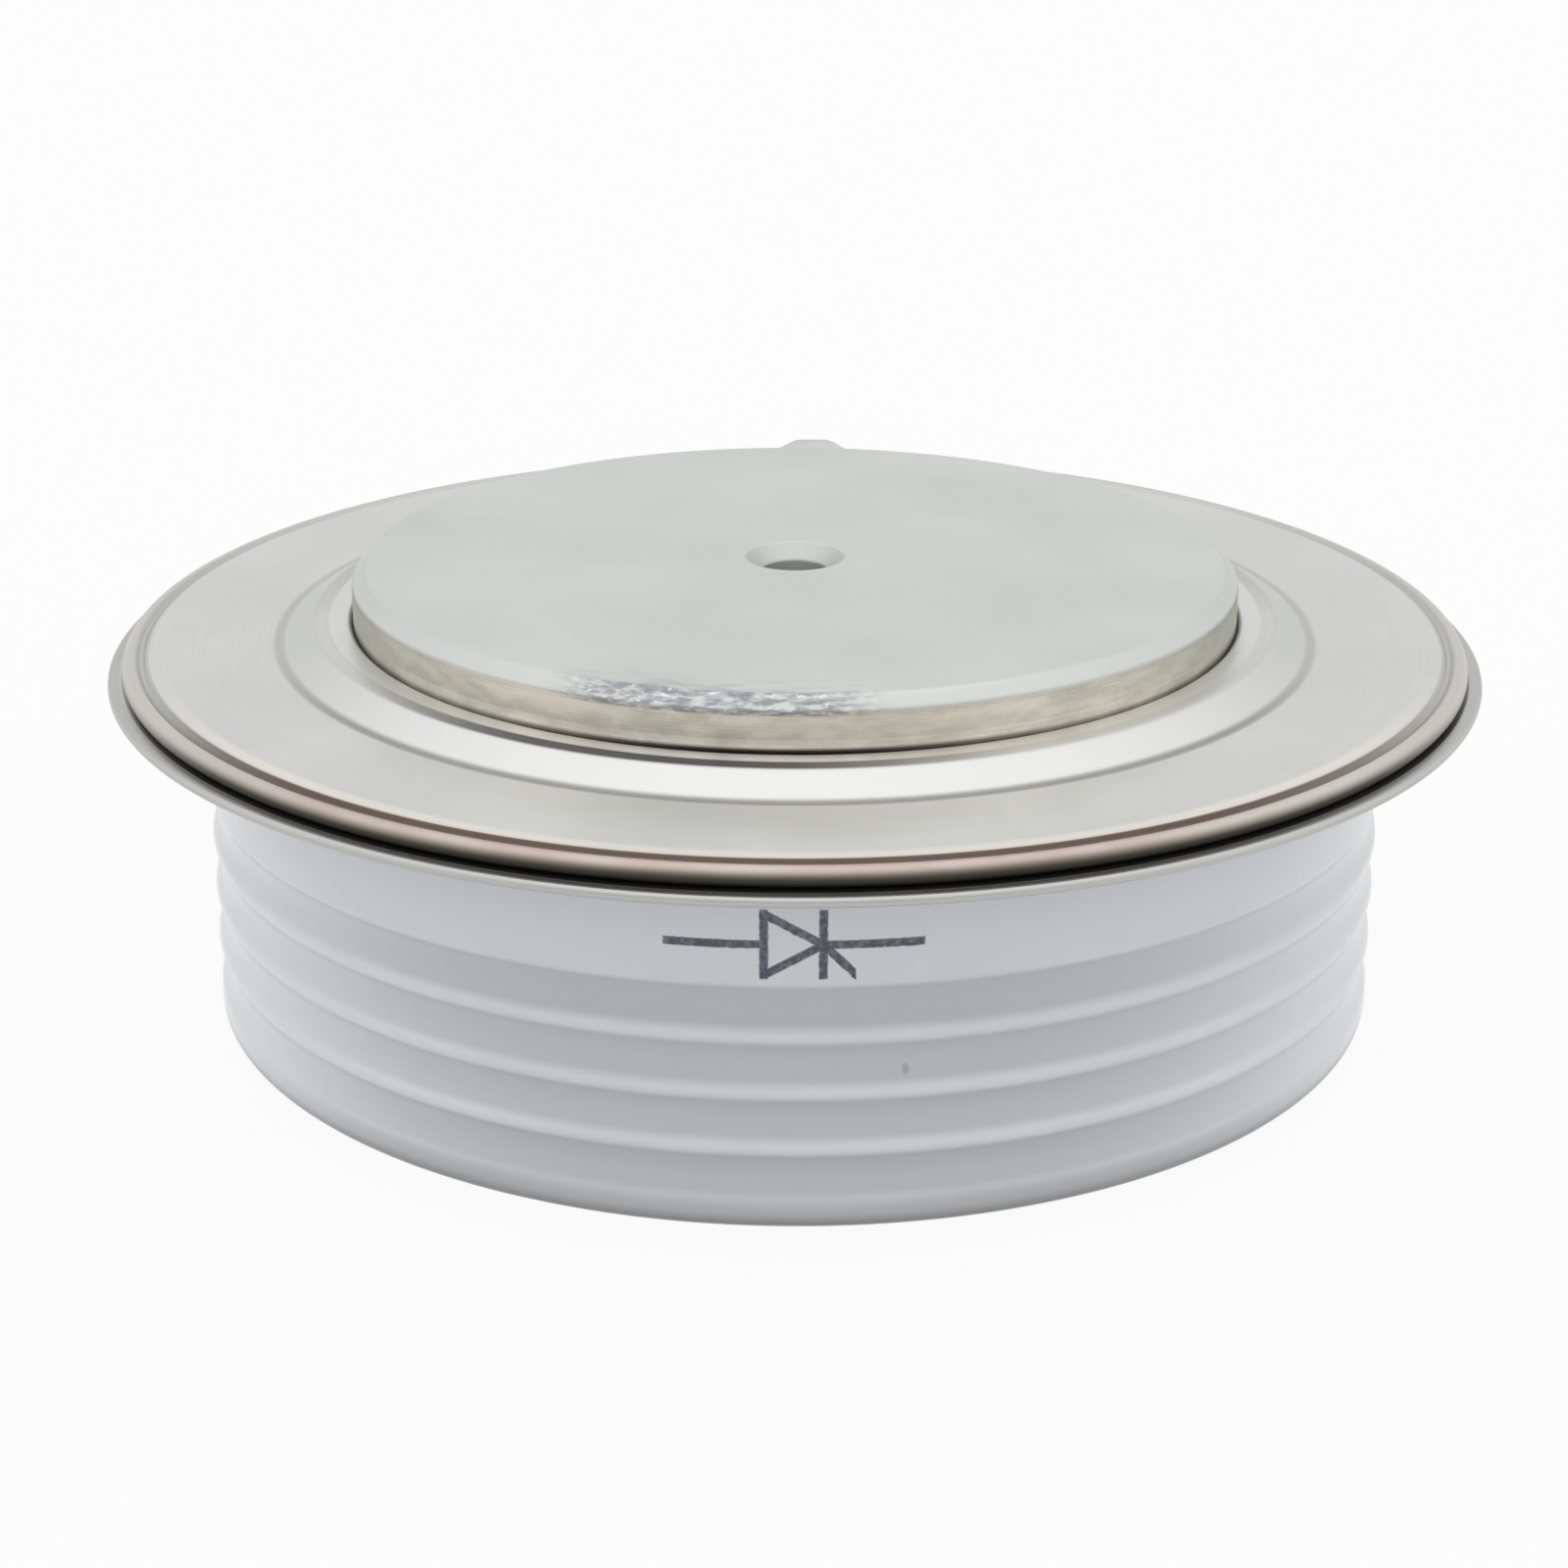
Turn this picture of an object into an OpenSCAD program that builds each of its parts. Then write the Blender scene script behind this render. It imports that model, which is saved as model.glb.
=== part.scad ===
// Disc thyristor: a ceramic capsule clamped between two heat sinks.
// The origin is the centre of the anode face, and +Z points to the cathode face.

/* [Overall] */
// Clamping height from the anode face to the cathode face
overall_h = 26; // [25:0.5:34]
// Diameter of both copper pole pieces
pole_d = 48.5; // [40:0.5:60]
// Height of the cathode pole piece; the anode pole takes up the rest of the stack
cathode_pole_h = 11.5; // [11:0.1:13]

/* [Poles] */
// Chamfer round each contact face
pole_chamfer = 0.7; // [0.3:0.05:1]
// Diameter of the locating hole in each contact face
hole_d = 3.5; // [3:0.1:4.5]
// Depth of the locating hole
hole_depth = 4; // [3:0.1:4.4]
// Mouth diameter of the countersink
sink_d = 5.5; // [4.6:0.1:7]
// Depth of the countersink
sink_depth = 0.75; // [0.4:0.05:1.2]

/* [Ceramic] */
// Gap between the poles and the ceramic's bore
cavity_gap = 3.75; // [3.4:0.05:5]
// Wall from the bore to the crests
ceramic_wall = 4.4; // [3.8:0.1:5.5]
// Height of the lower end above the anode face
foot_gap = 1.7; // [1:0.05:2]
// Number of creepage grooves
rib_count = 4; // [2:1:4]
// Distance from crest to crest
rib_pitch = 2.95; // [2.2:0.05:3.1]
// Depth of a groove below its crests
rib_depth = 0.35; // [0.15:0.05:0.6]
// Width of a rounded crest
crest_w = 0.8; // [0.5:0.05:1.2]
// Height of the lowest crest above the lower end
rib_start = 1.3; // [1:0.1:1.8]
// Rounding of the lower outer edge
foot_round = 0.45; // [0.2:0.05:0.7]

/* [Flanges] */
// Reach of the rim past the ceramic's crests
rim_overhang = 5.1; // [4:0.1:7]
// Thickness of the lid and weld ring sheet
sheet_t = 0.5; // [0.4:0.05:0.7]
// Depth of the lid's flat below the cathode face
lid_drop = 3.85; // [3.5:0.05:4.4]
// Width of the raised ring round the cathode pole
plateau_w = 2.15; // [1.2:0.05:2.6]
// Radial run of the cone from the raised ring down to the lid's flat
cone_run = 1.75; // [1.2:0.05:2.4]
// Rise of the raised ring above the lid's flat
cone_rise = 1.1; // [0.6:0.05:1.5]
// Setback of the lid's curled lip from the rim
lip_setback = 0.8; // [0.4:0.05:1.2]
// Inner bend radius of the curled lip
bend_r = 0.15; // [0.1:0.05:0.3]
// Width of the weld groove inside the lip
groove_w = 0.5; // [0.4:0.05:0.8]
// Depth of the weld groove
groove_depth = 0.18; // [0.1:0.02:0.28]
// Gap between the lid's curled lip and the weld ring's lip
lip_gap = 0.2; // [0.1:0.05:0.4]
// Thickness of the anode membrane
membrane_t = 0.4; // [0.3:0.05:0.5]
// Rise of the membrane's inner ring above its brazed land
membrane_rise = 1.6; // [1:0.1:2.5]
// Width of the membrane's land under the ceramic
land_w = 3.4; // [2.5:0.1:3.6]

/* [Wafer stack] */
// Reach of the molybdenum backing disc past the anode pole
backing_overhang = 2.2; // [1.5:0.1:2.8]
// Thickness of the backing disc
backing_t = 2; // [1.6:0.1:2.5]
// Setback of the silicon wafer from the backing disc's edge
wafer_setback = 0.8; // [0.5:0.1:1.5]
// Thickness of the silicon wafer
wafer_t = 0.6; // [0.4:0.05:0.9]
// Width of the wafer's bevelled edge
bevel_w = 0.8; // [0.4:0.1:1.2]
// Width of the rubber lip that covers the wafer's upper rim
seal_lip = 0.6; // [0.3:0.1:1]
// Thickness of the rubber lip
seal_lip_t = 0.35; // [0.2:0.05:0.6]
// Gap between the rubber lip and the contact washer
washer_gap = 2.4; // [1:0.1:4]
// Thickness of the molybdenum contact washer
washer_t = 1.2; // [1:0.1:1.6]
// Hole in the contact washer for the gate pin
washer_hole_d = 7; // [6:0.25:8]
// Depth that the centring ring reaches down the anode pole
ring_grip = 2; // [1:0.1:3]
// Height of the centring ring above the backing disc's upper face
ring_rise = 1.4; // [1:0.1:1.7]

/* [Gate] */
// Direction of the gate terminal, from +X
gate_angle = 116; // [112:1:140]
// Height of the gate lead above the cathode pole's inner face
gate_rise = 2.7; // [2.4:0.1:2.9]
// Diameter of the gate bore in the cathode pole
bore_d = 8.4; // [8:0.1:10]
// Wall of the insulating cup
cup_t = 0.6; // [0.4:0.05:0.8]
// Diameter of the gate pin's contact tip
tip_d = 2.4; // [1.8:0.1:3.2]
// Diameter of the gate pin's shoulder
shoulder_d = 5.2; // [4.9:0.1:5.4]
// Thickness of the shoulder
shoulder_t = 1.4; // [1.2:0.1:1.6]
// Diameter of the stem inside the spring
stem_d = 1.8; // [1.4:0.1:2.2]
// Working length of the gate spring
spring_len = 2.2; // [2:0.1:2.5]
// Mean diameter of the gate spring
spring_d = 3.8; // [3.4:0.1:4.2]
// Wire diameter of the gate spring
spring_wire = 0.4; // [0.25:0.05:0.45]
// Turns of the gate spring
spring_turns = 4; // [3:0.5:4]
// Diameter of the gate lead
lead_d = 0.8; // [0.6:0.1:1]
// Outer diameter of the lead's insulating sleeve
sleeve_d = 2.2; // [1.8:0.1:2.3]
// Outer diameter of the feedthrough tube
tube_d = 3.6; // [3.3:0.1:4]
// Inner diameter of the feedthrough tube
tube_bore_d = 2.6; // [2.5:0.1:2.8]
// Length of the feedthrough tube outside the ceramic
tube_reach = 3.6; // [3:0.1:5]
// Length of the solid end of the tube that holds the blade
plug_len = 2.2; // [1.5:0.1:2.6]
// Diameter of the brazed washer round the tube
tube_washer_d = 5.6; // [5:0.1:6.5]
// Thickness of the brazed washer
tube_washer_t = 0.5; // [0.3:0.05:0.7]

/* [Terminals] */
// Width of the gate blade
gate_blade_w = 4.8; // [4:0.1:6.3]
// Thickness of both blades
blade_t = 0.5; // [0.4:0.05:0.8]
// Length of the gate blade past its tube
gate_blade_len = 9; // [7:0.5:12]
// Width of the part of the gate blade that sits in the tube
gate_root_w = 2.6; // [2:0.1:3]
// Diameter of the latching hole in the gate blade
latch_d = 1.4; // [1:0.1:1.8]
// Distance of the latching hole from the end of the blade
latch_setback = 3; // [2:0.1:4]
// Width of the auxiliary cathode tab at the rim
tab_root_w = 8.4; // [7:0.1:10]
// Width of the tab where its taper begins to narrow to the blade
tab_mid_w = 6.2; // [5:0.1:7]
// Width of the blade at the end of the tab
tab_blade_w = 2.8; // [2.4:0.1:3.5]
// Length of the tab past the rim
tab_len = 9.2; // [7:0.1:12]
// Overlap of the tab under the rim
tab_lap = 1.4; // [1:0.1:1.45]

/* [Hidden] */
$fn = 96;
// Clearance between pieces that are only dropped in
fit = 0.1;
// Clearance that lets a piece pass over an edge
pass = 0.3;
// How far a cutter runs past the face that it cuts
over = 1;
// Steps in a rounded stretch of a profile
arc_steps = 8;
// Direction of the auxiliary cathode tab, from +X
tab_angle = 88.5;
tab_chamfer = 0.5;
tab_shoulder = 1;
blade_chamfer = 0.7;
inner_chamfer = 0.4;
groove_side = 0.15;
joggle_run = 0.35;
shoulder_w = 0.15;

// Radii, each built out from the one inside it
pole_r = pole_d / 2;
cavity_r = pole_r + cavity_gap;
ceramic_r = cavity_r + ceramic_wall;
rim_r = ceramic_r + rim_overhang;
backing_r = pole_r + backing_overhang;
wafer_r = backing_r - wafer_setback;
washer_r = wafer_r - bevel_w - seal_lip - washer_gap;
bore_r = bore_d / 2;

// The anode pole fills what the cathode pole and the wafer stack leave
anode_pole_h = overall_h - cathode_pole_h - washer_t - wafer_t - backing_t;

// Levels of the stack, from the anode face up
z_backing = anode_pole_h;
z_wafer = z_backing + backing_t;
z_washer = z_wafer + wafer_t;
z_cathode = z_washer + washer_t;
z_gate = z_cathode + gate_rise;
z_spring = z_gate + shoulder_t / 2;
z_cup_top = z_spring + spring_len + cup_t;

// Levels of the lid and the housing
z_lid = overall_h - lid_drop;
z_seam = z_lid - sheet_t;
z_ceramic_top = z_seam - sheet_t;
z_plateau = z_lid + cone_rise;

// Radii of the lid and the weld ring, from the pole out and from the rim in
plateau_r = pole_r + plateau_w;
cone_r = plateau_r + cone_run;
lip_r = rim_r - lip_setback;
curl_r = sheet_t + bend_r;
// Upper side of the weld ring's lip, below the end of the curled lip
z_lip = z_lid - curl_r - sheet_t / 2 - lip_gap;
groove_r = lip_r - curl_r - shoulder_w - groove_w;
joggle_r = lip_r - curl_r - joggle_run;
// Shift of the inner line of a bent sheet, so that it keeps its thickness
cone_in = sheet_t * tan(atan(cone_rise / cone_run) / 2);
joggle_in = sheet_t * tan(atan((z_seam - z_lip) / joggle_run) / 2);

slot_w = sleeve_d + 4 * fit;
tube_end = ceramic_r + tube_reach;
tube_start = cavity_r - pass;
cup_r = bore_r - fit;

nickel = [0.80, 0.79, 0.76];
copper = [0.78, 0.52, 0.36];
alumina = [0.90, 0.91, 0.91];
molybdenum = [0.47, 0.48, 0.51];
silicon = [0.28, 0.30, 0.36];
silicone = [0.93, 0.92, 0.88];
fluoropolymer = [0.96, 0.96, 0.94];

// Points of an arc round c, from angle a0 to angle a1
function arc(c, r, a0, a1, n = arc_steps) =
    [for (i = [0:n]) let (a = a0 + (a1 - a0) * i / n) c + r * [cos(a), sin(a)]];

// A full ring of rectangular section
module ring(outer_r, inner_r, z, h) {
    rotate_extrude() translate([inner_r, z]) square([outer_r - inner_r, h]);
}

// A rod along +X from x0 to x1 at a height
module rod_x(d, x0, x1, z) {
    translate([x0, 0, z]) rotate([0, 90, 0]) cylinder(d = d, h = x1 - x0);
}

// Solid pole with a chamfered contact face at z = 0 and its locating hole
module pole_blank(h) {
    difference() {
        rotate_extrude() polygon([
            [0, 0], [pole_r - pole_chamfer, 0], [pole_r, pole_chamfer],
            [pole_r, h - inner_chamfer], [pole_r - inner_chamfer, h], [0, h]
        ]);
        translate([0, 0, -over]) cylinder(d = hole_d, h = hole_depth + over);
        rotate_extrude() polygon([
            [0, -over], [sink_d / 2, -over], [sink_d / 2, 0], [hole_d / 2, sink_depth], [0, sink_depth]
        ]);
    }
}

module anode_pole() {
    color(nickel) pole_blank(anode_pole_h);
}

// Thin sheet from the ceramic's lower end, up and in to the anode pole
module anode_membrane() {
    low = foot_gap - membrane_t;
    land_in = cavity_r - pass - membrane_t;
    high = low + membrane_rise;
    slope = membrane_t;
    color(nickel) rotate_extrude() polygon([
        [cavity_r + land_w, low], [cavity_r + land_w, foot_gap], [land_in, foot_gap],
        [land_in - slope, high + membrane_t], [pole_r, high + membrane_t], [pole_r, high],
        [land_in - 2 * slope, high], [land_in - slope, low]
    ]);
}

// Section of the creepage grooves and rounded crests, from the lowest crest up
function rib_section(r_peak, z0) =
    let (
        chord = rib_pitch - crest_w,
        groove_arc_r = (chord * chord / 4 + rib_depth * rib_depth) / (2 * rib_depth),
        tilt = asin(chord / 2 / groove_arc_r),
        crest_arc_r = crest_w / 2 / sin(tilt),
        r_edge = r_peak - crest_arc_r * (1 - cos(tilt))
    )
    [for (i = [0:rib_count - 1])
        let (z_crest = z0 + i * rib_pitch, z_mid = z_crest + rib_pitch / 2)
        each concat(
            arc([r_peak - crest_arc_r, z_crest], crest_arc_r, i == 0 ? 0 : -tilt, tilt, arc_steps / 2),
            arc([r_edge - rib_depth + groove_arc_r, z_mid], groove_arc_r, 180 + tilt, 180 - tilt)
        ),
     each arc([r_peak - crest_arc_r, z0 + rib_count * rib_pitch], crest_arc_r, -tilt, 0, arc_steps / 2)];

// Ribbed alumina ring with a hole for the feedthrough tube
module ceramic_housing() {
    color(alumina) difference() {
        rotate_extrude() polygon(concat(
            [[cavity_r, foot_gap]],
            arc([ceramic_r - foot_round, foot_gap + foot_round], foot_round, -90, 0),
            rib_section(ceramic_r, foot_gap + rib_start),
            [[ceramic_r, z_ceramic_top], [cavity_r, z_ceramic_top]]
        ));
        rotate([0, 0, gate_angle]) rod_x(tube_d, cavity_r - over, ceramic_r + over, z_gate);
    }
}

// Sheet ring brazed to the ceramic's upper end; outside the weld it steps down to a rounded lip
module weld_ring() {
    color(nickel) rotate_extrude() polygon(concat(
        [
            [cavity_r + pass, z_ceramic_top], [cavity_r + pass, z_seam], [joggle_r, z_seam],
            [joggle_r + joggle_run, z_lip]
        ],
        arc([rim_r - sheet_t / 2, z_lip - sheet_t / 2], sheet_t / 2, 90, -90),
        [
            [joggle_r + joggle_run - joggle_in, z_lip - sheet_t], [joggle_r - joggle_in, z_ceramic_top]
        ]
    ));
}

// Sheet lid: raised ring round the cathode pole, cone, flat, weld groove and a lip curled down
module lid_flange() {
    curl = [lip_r - curl_r, z_lid - curl_r];
    color(nickel) rotate_extrude() polygon(concat(
        [
            [pole_r, z_plateau], [plateau_r, z_plateau], [cone_r, z_lid],
            [groove_r, z_lid], [groove_r + groove_side, z_lid - groove_depth],
            [groove_r + groove_w - groove_side, z_lid - groove_depth], [groove_r + groove_w, z_lid]
        ],
        arc(curl, curl_r, 90, 0),
        arc([lip_r - sheet_t / 2, z_lid - curl_r], sheet_t / 2, 0, -180),
        arc(curl, bend_r, 0, 90),
        [
            [cone_r - cone_in, z_seam], [plateau_r - cone_in, z_plateau - sheet_t],
            [pole_r, z_plateau - sheet_t]
        ]
    ));
}

// Copper pole with the gate bore and the lead's slot in its inner face
module cathode_pole() {
    color(nickel) difference() {
        translate([0, 0, overall_h]) mirror([0, 0, 1]) pole_blank(overall_h - z_cathode);
        translate([0, 0, z_cathode - over]) cylinder(r = bore_r, h = z_cup_top - z_cathode + over);
        rotate([0, 0, gate_angle]) {
            translate([0, -slot_w / 2, z_cathode - over]) cube([pole_r + over, slot_w, gate_rise + over]);
            rod_x(slot_w, 0, pole_r + over, z_gate);
        }
    }
}

module backing_disc() {
    color(molybdenum) translate([0, 0, z_backing]) cylinder(r = backing_r, h = backing_t);
}

// Wafer with a bevelled rim
module silicon_wafer() {
    color(silicon) translate([0, 0, z_wafer]) cylinder(r1 = wafer_r, r2 = wafer_r - bevel_w, h = wafer_t);
}

// Rubber ring cast over the wafer's bevel
module edge_seal() {
    top_r = wafer_r - bevel_w;
    color(silicone) rotate_extrude() polygon([
        [wafer_r, z_wafer], [backing_r, z_wafer], [backing_r, z_washer + seal_lip_t],
        [top_r - seal_lip, z_washer + seal_lip_t], [top_r - seal_lip, z_washer], [top_r, z_washer]
    ]);
}

module contact_washer() {
    color(molybdenum) ring(washer_r, washer_hole_d / 2, z_washer, washer_t);
}

// Insulating ring that centres the backing disc on the anode pole and in the ceramic
module centring_ring() {
    color(fluoropolymer) rotate_extrude() polygon([
        [pole_r + fit, z_backing - ring_grip], [cavity_r - fit, z_backing - ring_grip],
        [cavity_r - fit, z_wafer + ring_rise], [backing_r + fit, z_wafer + ring_rise],
        [backing_r + fit, z_backing], [pole_r + fit, z_backing]
    ]);
}

// Contact tip on the wafer, shoulder for the lead and stem for the spring
module gate_pin() {
    color(nickel) {
        translate([0, 0, z_washer]) cylinder(d = tip_d, h = z_gate - z_washer);
        translate([0, 0, z_gate - shoulder_t / 2]) cylinder(d = shoulder_d, h = shoulder_t);
        translate([0, 0, z_gate]) cylinder(d = stem_d, h = shoulder_t / 2 + spring_len / 2);
    }
}

// Insulating cup in the gate bore
module gate_cup() {
    low = z_cathode + pass;
    color(fluoropolymer) difference() {
        translate([0, 0, low]) cylinder(r = cup_r, h = z_cup_top - low);
        translate([0, 0, low - over]) cylinder(r = cup_r - cup_t, h = z_cup_top - cup_t - low + over);
        rotate([0, 0, gate_angle]) rod_x(lead_d + 4 * fit, 0, bore_r + over, z_gate);
    }
}

// Tube swept along a helix: rings of points that close into one solid
module helix(mean_r, wire_r, z0, rise, turns, sides = 8, steps_per_turn = 20) {
    rings = round(turns * steps_per_turn);
    points = [
        for (i = [0:rings], k = [0:sides - 1])
            let (a = 360 * turns * i / rings, b = 360 * k / sides)
            [
                (mean_r + wire_r * cos(b)) * cos(a),
                (mean_r + wire_r * cos(b)) * sin(a),
                z0 + rise * i / rings + wire_r * sin(b)
            ]
    ];
    sides_of_tube = [
        for (i = [0:rings - 1], k = [0:sides - 1])
            let (n = (k + 1) % sides)
            [i * sides + k, i * sides + n, (i + 1) * sides + n, (i + 1) * sides + k]
    ];
    first_end = [for (k = [sides - 1:-1:0]) k];
    last_end = [for (k = [0:sides - 1]) rings * sides + k];
    polyhedron(points, concat(sides_of_tube, [first_end, last_end]));
}

module gate_spring() {
    wire_r = spring_wire / 2;
    color("silver") helix(spring_d / 2, wire_r, z_spring + wire_r, spring_len - spring_wire, spring_turns);
}

module gate_lead() {
    color(copper) rotate([0, 0, gate_angle]) rod_x(lead_d, shoulder_d / 2, tube_end - plug_len, z_gate);
}

module lead_sleeve() {
    color(fluoropolymer) rotate([0, 0, gate_angle]) difference() {
        rod_x(sleeve_d, bore_r + pass, ceramic_r, z_gate);
        rod_x(lead_d + 2 * fit, bore_r, ceramic_r + over, z_gate);
    }
}

// Metal tube through the ceramic, with a slotted solid end
module gate_tube() {
    color(nickel) rotate([0, 0, gate_angle]) difference() {
        rod_x(tube_d, tube_start, tube_end, z_gate);
        rod_x(tube_bore_d, tube_start - over, tube_end - plug_len, z_gate);
        translate([tube_end - plug_len / 2, -gate_root_w / 2, z_gate - blade_t / 2])
            cube([plug_len, gate_root_w, blade_t]);
    }
}

// Washer brazed round the tube against the ceramic
module tube_washer() {
    color(nickel) rotate([0, 0, gate_angle]) difference() {
        rod_x(tube_washer_d, ceramic_r, ceramic_r + tube_washer_t, z_gate);
        rod_x(tube_d, ceramic_r - over, ceramic_r + tube_washer_t + over, z_gate);
    }
}

// Flat push-on blade whose root sits in the tube's slot
module gate_terminal() {
    half = gate_blade_w / 2;
    end = tube_end + gate_blade_len;
    root = tube_end - plug_len / 2;
    color(nickel) rotate([0, 0, gate_angle]) translate([0, 0, z_gate - blade_t / 2])
        linear_extrude(blade_t) difference() {
            polygon([
                [root, -gate_root_w / 2], [tube_end, -gate_root_w / 2], [tube_end, -half],
                [end - blade_chamfer, -half], [end, -half + blade_chamfer],
                [end, half - blade_chamfer], [end - blade_chamfer, half],
                [tube_end, half], [tube_end, gate_root_w / 2], [root, gate_root_w / 2]
            ]);
            translate([end - latch_setback, 0]) circle(d = latch_d);
        }
}

// Flat tab welded under the weld ring's lip, tapering to a blade
module cathode_terminal() {
    root = rim_r - tab_lap;
    shoulder = rim_r + tab_shoulder;
    tip = rim_r + tab_len;
    mid = (shoulder + tip) / 2;
    half = tab_blade_w / 2;
    color(nickel) rotate([0, 0, tab_angle]) translate([0, 0, z_lip - sheet_t - blade_t])
        linear_extrude(blade_t) polygon([
            [root, -tab_root_w / 2], [shoulder, -tab_root_w / 2], [mid, -tab_mid_w / 2],
            [tip - tab_chamfer, -half], [tip, -half + tab_chamfer], [tip, half - tab_chamfer],
            [tip - tab_chamfer, half], [mid, tab_mid_w / 2], [shoulder, tab_root_w / 2],
            [root, tab_root_w / 2]
        ]);
}

anode_pole();
anode_membrane();
ceramic_housing();
weld_ring();
lid_flange();
cathode_pole();
backing_disc();
silicon_wafer();
edge_seal();
contact_washer();
centring_ring();
gate_pin();
gate_cup();
gate_spring();
gate_lead();
lead_sleeve();
gate_tube();
tube_washer();
gate_terminal();
cathode_terminal();
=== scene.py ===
# %% [markdown]
# The disc thyristor is a flat ceramic capsule that is clamped between two heat sinks.
# The imported model gives every solid in metres, standing on its anode face with +Z upwards.
# It is loaded first, and its solids are kept, because their boxes give the sizes of the new pieces.

# %% Load the imported model
import math

import bpy
from mathutils import Matrix, Vector


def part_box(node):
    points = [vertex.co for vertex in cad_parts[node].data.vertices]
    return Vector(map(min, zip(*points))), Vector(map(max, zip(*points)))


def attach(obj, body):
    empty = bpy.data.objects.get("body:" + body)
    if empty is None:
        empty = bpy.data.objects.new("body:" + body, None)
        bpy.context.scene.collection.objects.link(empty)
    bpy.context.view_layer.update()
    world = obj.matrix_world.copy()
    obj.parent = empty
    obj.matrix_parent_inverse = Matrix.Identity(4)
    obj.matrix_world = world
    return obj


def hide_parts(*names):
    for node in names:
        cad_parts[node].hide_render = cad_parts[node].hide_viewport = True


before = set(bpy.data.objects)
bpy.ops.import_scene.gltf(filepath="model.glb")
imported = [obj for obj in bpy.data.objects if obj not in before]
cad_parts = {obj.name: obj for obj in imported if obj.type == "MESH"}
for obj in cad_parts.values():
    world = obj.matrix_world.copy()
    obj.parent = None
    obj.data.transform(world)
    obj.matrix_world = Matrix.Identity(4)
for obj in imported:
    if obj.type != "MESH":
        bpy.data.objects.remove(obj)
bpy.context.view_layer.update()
scene = bpy.context.scene
scene.view_settings.view_transform = "Standard"
MM = 0.001
print("nodes loaded:", len(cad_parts))

# %% [markdown]
# The photo looks down on the lid from the front at about twenty degrees with a short telephoto lens.
# The place and direction of the camera were found by matching circles on the part with their
# edges in the photo, so they are simply written down here. The look direction and the camera's
# own right-hand direction fix all three turns without any guessing of angles.

# %% Camera
CAMERA_PLACE = Vector((0, -172.6, 77.06)) * MM
look = Vector((-0.00311, 0.93674, -0.34998)).normalized()
right = Vector((0.99999, 0.00240, 0.00250))
right = (right - look * right.dot(look)).normalized()
up = right.cross(look)
turn = Matrix((right, up, -look)).transposed()
camera_data = bpy.data.cameras.new("photo_camera")
camera_data.lens = 74.9
camera_data.sensor_width = 36
camera_data.clip_start = 0.005
camera = bpy.data.objects.new("photo_camera", camera_data)
camera.matrix_world = Matrix.Translation(CAMERA_PLACE) @ turn.to_4x4()
scene.collection.objects.link(camera)
scene.camera = camera
print("camera lens:", camera_data.lens)

# %% [markdown]
# The new pieces have to lie exactly where the solids are, so their main sizes are read from the boxes of
# the solids. A round piece gives its radius, its lower level and its upper level, all in millimetres.

# %% Sizes read from the solids


def reach(node):
    low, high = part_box(node)
    radius = (high.x - low.x) / 2
    return tuple(round(value / MM, 2) for value in (radius, low.z, high.z))


POLE_R, CATHODE_LOW, TOP = reach("cathode_pole")
ANODE_TOP = reach("anode_pole")[2]
RIM_R, RING_LOW, SEAM = reach("weld_ring")
LIP_R, LIP_LOW, PLATEAU = reach("lid_flange")
CERAMIC_R, FOOT, CERAMIC_TOP = reach("ceramic_housing")
SKIRT_R, SKIRT_LOW, SKIRT_TOP = reach("anode_membrane")
SHEET = round(SEAM - CERAMIC_TOP, 2)
LID = SEAM + SHEET
print("pole radius:", POLE_R, "rim radius:", RIM_R, "ceramic radius:", CERAMIC_R, "height:", TOP)

# %% [markdown]
# Shader nodes are easier to read as sums. A Wire holds one output socket, and arithmetic on wires
# adds the Math nodes behind the scenes. Every other kind of node comes from the node method:
# first its settings, then the values or wires of its sockets. In a Mix node that mixes colours, sockets 6
# and 7 take the two colours and output 2 gives the result.

# %% Shader arithmetic


class Wire:
    def __init__(self, tree, socket):
        self.tree = tree
        self.socket = socket

    def node(self, kind, settings=None, sockets=None, out=0):
        made = self.tree.nodes.new(kind)
        for key, value in (settings or {}).items():
            setattr(made, key, value)
        for key, value in (sockets or {}).items():
            if isinstance(value, Wire):
                self.tree.links.new(value.socket, made.inputs[key])
            else:
                made.inputs[key].default_value = value
        return Wire(self.tree, made.outputs[out])

    def math(self, operation, *values):
        return self.node("ShaderNodeMath", {"operation": operation}, dict(enumerate(values)))

    def __add__(self, other):
        return self.math("ADD", self, other)

    __radd__ = __add__

    def __sub__(self, other):
        return self.math("SUBTRACT", self, other)

    def __rsub__(self, other):
        return self.math("SUBTRACT", other, self)

    def __mul__(self, other):
        return self.math("MULTIPLY", self, other)

    __rmul__ = __mul__

    def __abs__(self):
        return self.math("ABSOLUTE", self)

    def either(self, other):
        return self.math("MAXIMUM", self, other)

    def axis(self, index):
        return self.node("ShaderNodeSeparateXYZ", {}, {0: self}, index)

    def step(self, low, high):
        return self.node("ShaderNodeMapRange", {"interpolation_type": "SMOOTHSTEP"},
                         {"Value": self, "From Min": low, "From Max": high})

    def band(self, low, high, soft):
        return self.step(low - soft, low + soft) * (1 - self.step(high - soft, high + soft))

    def noise(self, scale, detail=3.0, rough=0.5):
        sockets = {"Vector": self, "Scale": scale, "Detail": detail, "Roughness": rough}
        return self.node("ShaderNodeTexNoise", {}, sockets, "Fac")

    def tint(self, shade_a, shade_b):
        return self.node("ShaderNodeMix", {"data_type": "RGBA"}, {0: self, 6: shade_a, 7: shade_b}, 2)

    def dent(self, depth, strength=1.0):
        sockets = {"Height": self, "Distance": depth * MM, "Strength": strength}
        return self.node("ShaderNodeBump", {}, sockets)


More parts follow.
